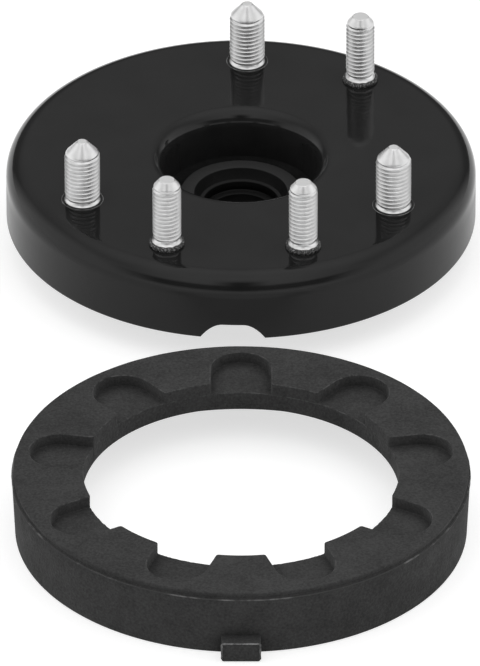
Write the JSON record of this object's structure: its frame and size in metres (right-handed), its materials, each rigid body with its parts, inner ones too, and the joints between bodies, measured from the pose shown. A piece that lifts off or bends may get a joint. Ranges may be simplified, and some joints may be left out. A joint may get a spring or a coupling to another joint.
{
  "type": "strut mount",
  "caption": "Round pressed steel strut mount with a rubber rod bush in a deep pocket, thick and thin studs on its upper face, and a pocketed rubber spring isolator ring lying in front.",
  "frame": {"origin": "on the mount's axis, in the plane of the upper face that bears on the vehicle body", "axes": "+Z along the studs, up; -Y towards the rim's notch and the isolator ring that lies in front"},
  "size_m": [0.136, 0.29, 0.0506],
  "materials": {
    "black_paint": "gloss black paint",
    "zinc_steel": "bright zinc plate",
    "bush_rubber": "satin",
    "coated_steel": "satin black coating",
    "ring_rubber": "matte moulded"
  },
  "bodies": {
    "root": {"shell": "black_paint", "body_studs": "zinc_steel", "slim_studs": "zinc_steel", "rod_bush": "bush_rubber", "rod_sleeve": "coated_steel", "spring_isolator": "ring_rubber"}
  },
  "joints": []
}
